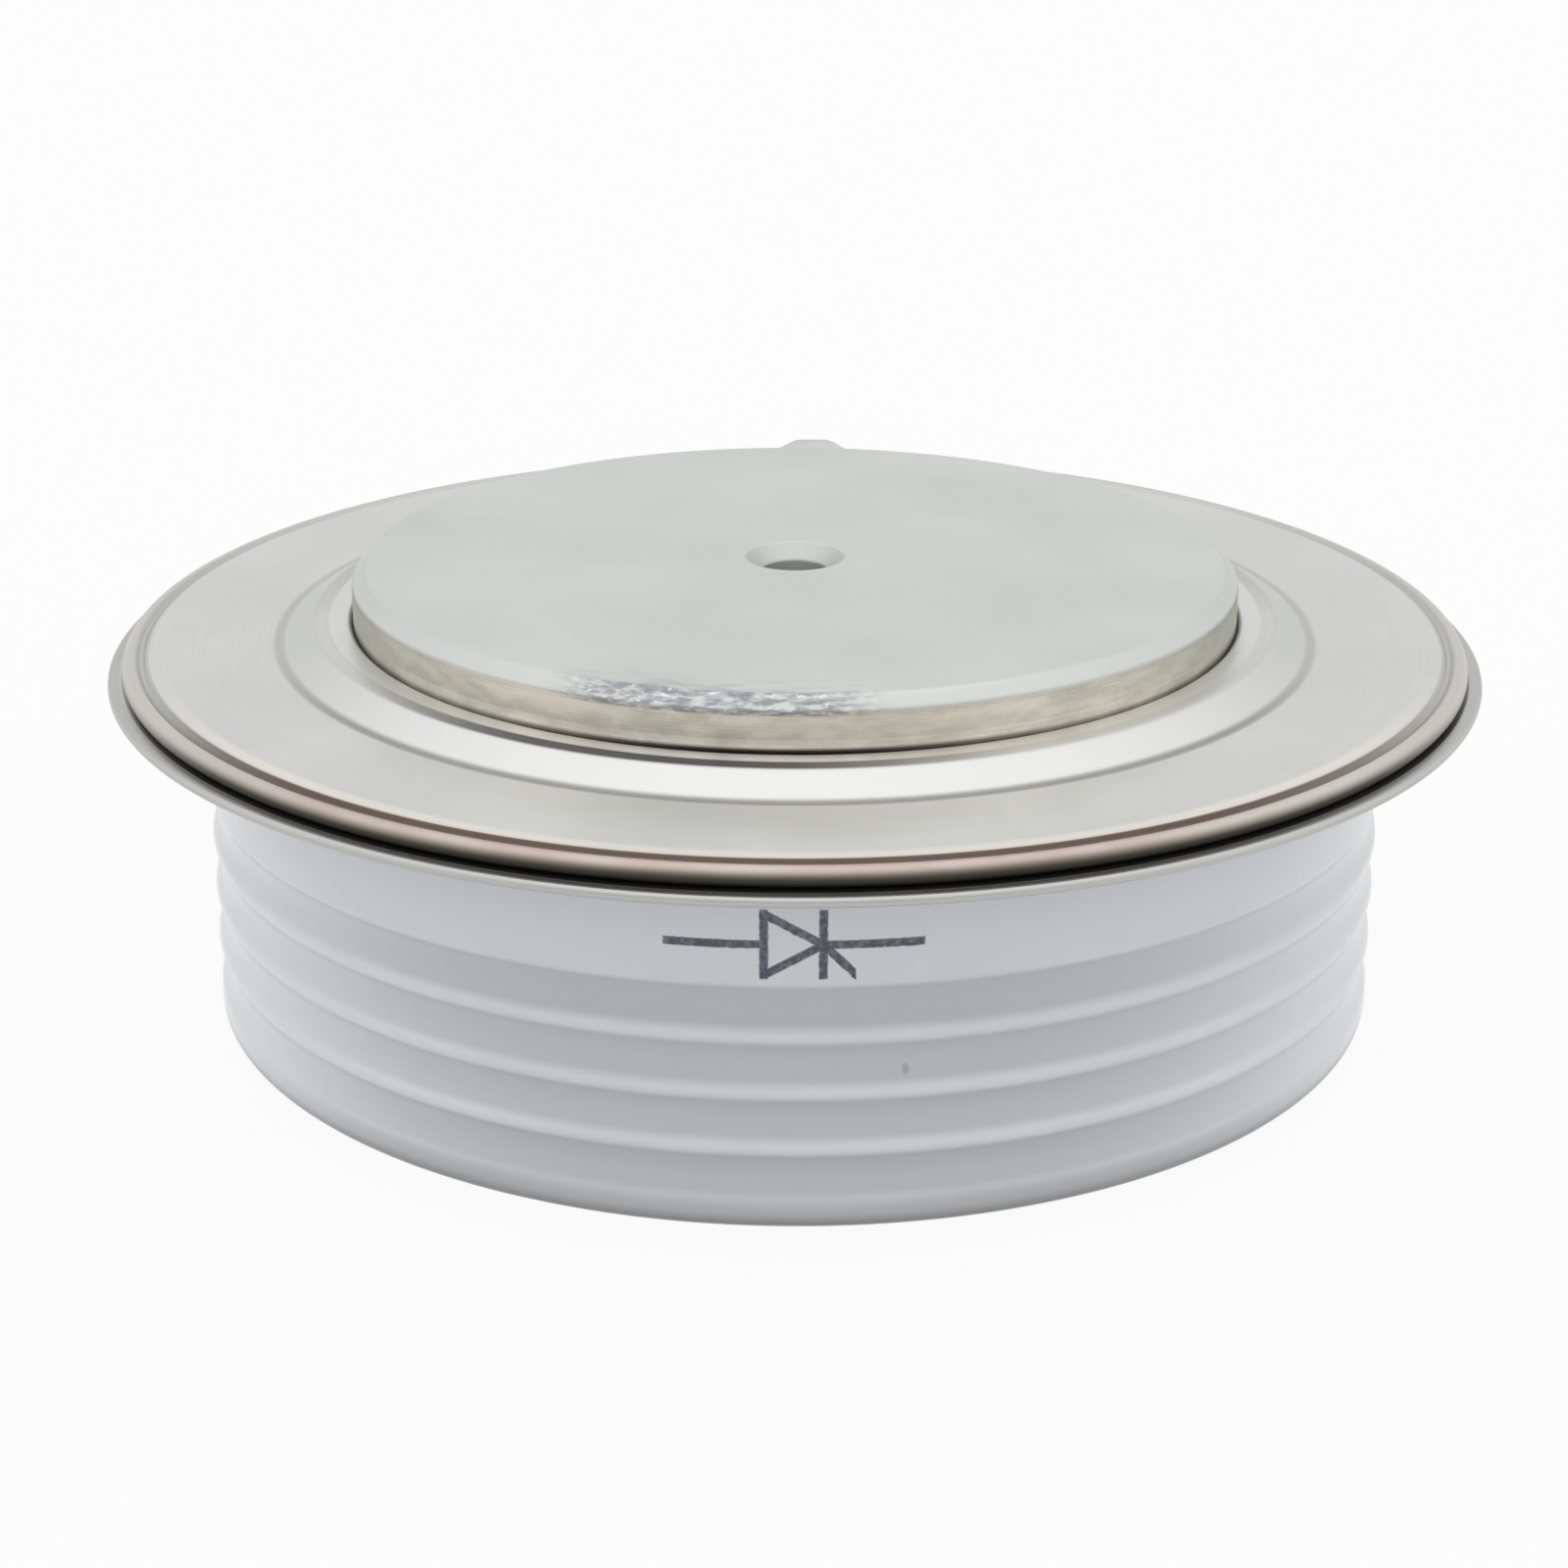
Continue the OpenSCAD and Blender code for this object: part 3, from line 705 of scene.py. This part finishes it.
# Painted highlights on the burrs of the nicks; the same mask raises the burrs in the bump.
burr_and_highlight = spread(place, angle * 40, z * 6).noise(1.0, 2).step(0.60, 0.68) * edge_band * handled
smear = radius.step(POLE_R - SMEAR_W, POLE_R - CHAMFER) * handled * z.step(TOP - 0.3, TOP - 0.1)
streak = spread(place, angle * 9, radius * 1.6).noise(1.0, 3, 0.6).step(0.42, 0.66)
colour = (smear * streak * 0.6).tint(colour, shade(0.36, 0.36, 0.39))
colour = (nick * 0.8).tint(colour, shade(0.25, 0.25, 0.28))
colour = (burr_and_highlight * 0.8).tint(colour, shade(0.76, 0.76, 0.78))
height = grain * 0.3 + cloud * 0.3 - nick * 2 + burr_and_highlight * 1.5 + lathe * side * 0.8
rough = 0.44 + 0.1 * cloud - 0.14 * side
feed(shader, Base_Color=colour, Metallic=1.0, Roughness=rough, Normal=height.dent(0.012, 0.4))
dress(cathode_contact, matt_nickel, "cathode_pole")
dress(anode_contact, matt_nickel, "anode_pole")

# %% [markdown]
# The lid and the other sheet pieces keep the satin of rolled sheet. Light and shade are painted over it.
# The raised ring carries a pale painted reflection at the front, and the cone is painted lighter at the
# front and shaded at the sides. Painted shade darkens the crease at the foot of the pole, the fine line
# that the press left on the edge of the raised ring, and another at the foot of the cone. A painted
# highlight lies just inside the groove at the front. Welding has browned the groove and given the lip a
# warm tinge that fades towards the sides, and painted shade darkens the groove further at the front. The
# lower side of the curled lip, the weld ring's lip below it and the seam gap between them carry painted
# shade, the seam nearly black. Each of these is a band of radius or height, mixed over the plate from
# the middle outwards.

# %% Satin nickel of the sheet
satin_nickel, shader, place = new_finish("satin_nickel")
radius, z, angle = measures(place)
cloud = place.noise(0.09, 3)
grain = place.noise(4.5, 2)
rolled = spread(place, radius * 5, angle * 3).noise(1.0, 2)
around = spread(place, angle * 7, radius * 0.5).noise(1.0, 3)
mottle = (cloud * 0.7 + rolled * 0.3).step(0.35, 0.65)
plate = mottle.tint(shade(0.645, 0.65, 0.63), shade(0.695, 0.70, 0.68))
above = z.step(SEAM, SEAM + 0.1)
near_front = 1 - abs(angle + 0.04).step(0.05, 0.9)
at_front = 1 - abs(angle).step(0.85, 1.35)
# Painted reflection: the raised ring is lightened, most at the front.
plateau_highlight = (1 - radius.step(PLATEAU_R - 0.3, PLATEAU_R)) * above
colour = (plateau_highlight * (0.15 + 0.85 * near_front)).tint(plate, shade(0.93, 0.93, 0.97))
cone = radius.band(PLATEAU_R, CONE_R, 0.1) * above
# Painted light: the cone is lighter at the front and shaded at the sides.
cone_painted_light = abs(angle).step(0.6, 1.5).tint(shade(0.70, 0.70, 0.685), shade(0.61, 0.62, 0.60))
colour = cone.tint(colour, cone_painted_light)
# Painted shade in the crease where the raised ring meets the pole, strongest at the front.
foot_crease_shade = (1 - radius.step(POLE_R + 0.18, POLE_R + 0.4)) * above
colour = (foot_crease_shade * (0.15 + 0.8 * near_front)).tint(colour, shade(0.05, 0.04, 0.035))
# Painted shade: a dark line on the edge of the raised ring, strongest left of the front.
press_line_shade = radius.band(PLATEAU_R - 0.85, PLATEAU_R, 0.12) * above
left_front = 1 - abs(angle + 0.28).step(0.2, 0.85)
at_rear = abs(angle).band(1.65, 2.4, 0.25)
colour = (press_line_shade * (0.12 + 0.85 * left_front + 0.2 * at_rear)).tint(colour, shade(0.09, 0.085, 0.10))
# Painted shade in the corner at the foot of the cone, strongest at the front.
cone_foot_shade = radius.band(CONE_R - 0.1, CONE_R + 0.4, 0.18) * above
colour = (cone_foot_shade * (0.5 + 0.5 * at_front)).tint(colour, shade(0.34, 0.34, 0.33))
glint = radius.band(GROOVE_R - 0.9, GROOVE_R - 0.2, 0.25) * above * at_front
colour = (glint * 0.8).tint(colour, shade(0.84, 0.79, 0.73))
past_groove = radius.step(GROOVE_R + GROOVE_W - 0.05, GROOVE_R + GROOVE_W + 0.1)
lip = past_groove * (1 - radius.step(LIP_R + 0.02, LIP_R + 0.1))
blush = (1 - abs(angle + 0.12).step(0.45, 1.0)) * (0.6 + 0.4 * around.step(0.3, 0.7))
warm = blush.tint(shade(0.60, 0.585, 0.54), shade(0.50, 0.40, 0.365))
colour = lip.tint(colour, warm)
# The groove is browned by welding, and painted shade darkens it further at the front.
groove = radius.band(GROOVE_R - 0.12, GROOVE_R + GROOVE_W + 0.06, 0.1) * above
browned_and_shaded = (1 - abs(angle + 0.05).step(0.6, 1.2)).tint(shade(0.26, 0.26, 0.23), shade(0.11, 0.07, 0.055))
colour = (groove * (0.42 + 0.55 * at_front)).tint(colour, browned_and_shaded)
# Painted shade on the lower side of the curled lip, strongest at the front.
lip_underside_shade = (1 - z.step(LIP_LOW + 0.3, LID - 0.02)) * lip
colour = (lip_underside_shade * (0.2 + 0.8 * at_front)).tint(colour, shade(0.05, 0.045, 0.035))
# Painted shade on the weld ring's lip under the lid's lip.
ring_lip_shade = radius.band(LIP_R + 0.14, RIM_R + 0.2, 0.06) * (1 - z.step(RING_LIP + 0.02, RING_LIP + 0.1))
colour = ring_lip_shade.tint(colour, shade(0.49, 0.49, 0.475))
# Painted shade: the seam gap under the lip is made nearly black, matt and not metallic, fading sooner on
# the left.
seam_gap_shade = radius.band(curl[0] - 0.3, LIP_R + 0.12, 0.06) * z.band(RING_LIP - 0.15, LIP_LOW + 0.2, 0.06)
seam_gap_shade = seam_gap_shade * (0.15 + 0.85 * angle.band(-0.95, 1.35, 0.25))
colour = seam_gap_shade.tint(colour, shade(0.012, 0.011, 0.009))
rough = 0.32 + 0.1 * cone + 0.06 * cloud + 0.3 * seam_gap_shade
height = grain * 0.5 + rolled * 0.5
feed(shader, Base_Color=colour, Metallic=1.0 - 0.8 * seam_gap_shade, Roughness=rough,
     Normal=height.dent(0.004, 0.4))
for piece, node in ((lid, "lid_flange"), (rim_ring, "weld_ring"), (anode_skirt, "anode_membrane"),
                    (gate_blade, "gate_terminal"), (cathode_tab, "cathode_terminal"),
                    (feedthrough, "gate_tube"), (braze_washer, "tube_washer")):
    dress(piece, satin_nickel, node)

# %% [markdown]
# The glaze is a clear glossy skin over pale alumina. Painted shade darkens the grooves against the
# crests. Painted light makes the left and right sides paler and a little greener, and painted shade
# darkens the foot towards the front and most of all on its rounded lower edge. The smooth band above has
# a lilac tinge. A plain circuit symbol of a thyristor is stamped there in blue-grey ink: two leads, a
# triangle, a bar and the slanted gate stroke. Each stroke is a band of constant width in a flat map of
# the wall, with arc length across and height up. A single dark speck sits lower down. The roughness
# stays above 0.27 everywhere, because the render's denoiser leaves thin lines where a finish crosses
# that value.

# %% Glazed alumina
INK_Z = 16.65
INK_HALF = 0.21
INK_SOFT = 0.05
ARROW_HALF = 1.55
ARROW_LENGTH = 2.8
LEAD_REACH = 6.2
SPECK_ARC = 5.45
SPECK_Z = 9.88
SPECK_SLIM = 1.7


def within(distance, half):
    return 1 - abs(distance).step(half - INK_SOFT, half + INK_SOFT)


glaze, shader, place = new_finish("glazed_alumina")
radius, z, angle = measures(place)
cloud = place.noise(0.12, 3)
fleck = place.noise(3.0, 2)
in_groove = 1 - radius.step(CERAMIC_R - 0.8 * RIB_DEPTH, CERAMIC_R + 0.03)
# Painted shade in the grooves, darker than the crests.
depth = in_groove * radius.step(CERAMIC_R - 1, CERAMIC_R - 0.6)
mottle = (cloud * 0.7 + fleck * 0.3).step(0.3, 0.7)
body = mottle.tint(shade(0.68, 0.69, 0.705), shade(0.73, 0.74, 0.755))
colour = depth.tint(body, shade(0.515, 0.53, 0.55))
# Painted light: the left and right sides are paler and a little greener.
side_painted_light = abs(angle).step(0.35, 1.1) * (0.5 + 0.2 * depth)
colour = side_painted_light.tint(colour, shade(0.715, 0.755, 0.75))
# Painted shade near the bottom at the front.
lower_shade = (1 - z.step(FOOT, FOOT + RIB_START + RIB_PITCH)) * (1 - abs(angle).step(0.5, 1.1))
colour = (lower_shade * 0.35).tint(colour, shade(0.42, 0.44, 0.46))
# Painted shade close to the floor, strongest at the front.
shadow_side = 1 - abs(angle).step(0.55, 1.3)
near_floor_shade = (1 - z.step(FOOT + 0.7, FOOT + 2.1)) * (0.3 + 0.7 * shadow_side)
colour = (near_floor_shade * 0.5).tint(colour, shade(0.30, 0.30, 0.315))
# Painted shade on the rounded edge of the foot.
foot_rim_shade = 1 - z.step(FOOT + 0.15, FOOT + 0.9)
colour = (foot_rim_shade * 0.85).tint(colour, shade(0.21, 0.205, 0.21))
last_crest = FOOT + RIB_START + RIB_COUNT * RIB_PITCH
upper = z.step(last_crest - 0.7, last_crest + 1.9)
colour = (upper * 0.85).tint(colour, shade(0.74, 0.745, 0.785))
feather = fleck * 0.12 - 0.06
u = angle * CERAMIC_R + feather
v = z - INK_Z + feather
tip = ARROW_LENGTH / 2
slope = math.hypot(ARROW_LENGTH, ARROW_HALF)
inside = u.band(-tip, tip, INK_SOFT)
tall = within(v, ARROW_HALF + INK_HALF)
lead = abs(u).band(tip, LEAD_REACH, INK_SOFT) * within(v, INK_HALF)
slant = abs(v) * (ARROW_LENGTH / slope) + (u - tip) * (ARROW_HALF / slope)
flank = within(slant, INK_HALF) * inside
back = within(u + tip, INK_HALF) * tall
bar = within(u - tip, INK_HALF) * tall
gate = within(u - tip + v, math.sqrt(2) * INK_HALF) * u.band(tip, tip + ARROW_HALF, INK_SOFT)
strokes = lead.either(flank).either(back).either(bar).either(gate)
on_wall = radius.step(CERAMIC_R - 0.3, CERAMIC_R - 0.2)
ink = strokes * on_wall * (0.86 + 0.14 * fleck.step(0.35, 0.6))
colour = ink.tint(colour, shade(0.075, 0.08, 0.11))
speck_u = (angle * CERAMIC_R - SPECK_ARC) * SPECK_SLIM
speck_v = z - SPECK_Z
speck = 1 - (speck_u * speck_u + speck_v * speck_v).step(0.02, 0.13)
colour = (speck * 0.4).tint(colour, shade(0.16, 0.18, 0.17))
rough = 0.29 + 0.06 * cloud + 0.2 * ink
ripple = place.noise(0.35, 1)
feed(shader, Base_Color=colour, Roughness=rough, Coat_Weight=0.5 - 0.4 * ink, Coat_Roughness=0.1,
     Normal=ripple.dent(0.006, 0.25))
dress(ceramic_ring, glaze, "ceramic_housing")

# %% [markdown]
# The pieces inside the sealed capsule keep their solids, because nobody sees them. They still get finishes
# that suit them, so that a section through the part looks right.

# %% Finishes of the inner solids


def plain_finish(name, dark, pale, rough, metal, grain_scale):
    finish, shader, place = new_finish(name)
    mottle = place.noise(grain_scale, 3)
    feed(shader, Base_Color=mottle.step(0.3, 0.7).tint(dark, pale), Metallic=metal,
         Roughness=rough - 0.05 + 0.1 * mottle, Normal=mottle.dent(0.004, 0.4))
    return finish


moly = plain_finish("lapped_molybdenum", shade(0.30, 0.30, 0.31), shade(0.36, 0.36, 0.37), 0.35, 1.0, 1.8)
wafer = plain_finish(
    "polished_silicon", shade(0.05, 0.055, 0.07), shade(0.07, 0.075, 0.095), 0.12, 0.6, 0.4)
rubber = plain_finish("silicone_rubber", shade(0.72, 0.70, 0.64), shade(0.78, 0.76, 0.70), 0.5, 0.0, 0.9)
polymer = plain_finish(
    "white_fluoropolymer", shade(0.80, 0.80, 0.78), shade(0.86, 0.86, 0.84), 0.45, 0.0, 1.2)
steel = plain_finish("spring_steel", shade(0.45, 0.45, 0.45), shade(0.52, 0.52, 0.52), 0.25, 1.0, 2.6)
copper = plain_finish("bare_copper", shade(0.70, 0.34, 0.20), shade(0.80, 0.42, 0.27), 0.3, 1.0, 1.6)
finishes = {
    "backing_disc": moly, "contact_washer": moly, "silicon_wafer": wafer, "edge_seal": rubber,
    "centring_ring": polymer, "gate_cup": polymer, "lead_sleeve": polymer, "gate_spring": steel,
    "gate_lead": copper, "gate_pin": satin_nickel}
for node, finish in finishes.items():
    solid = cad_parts[node]
    solid.data.materials.clear()
    solid.data.materials.append(finish)
print("inner finishes set:", len(finishes))
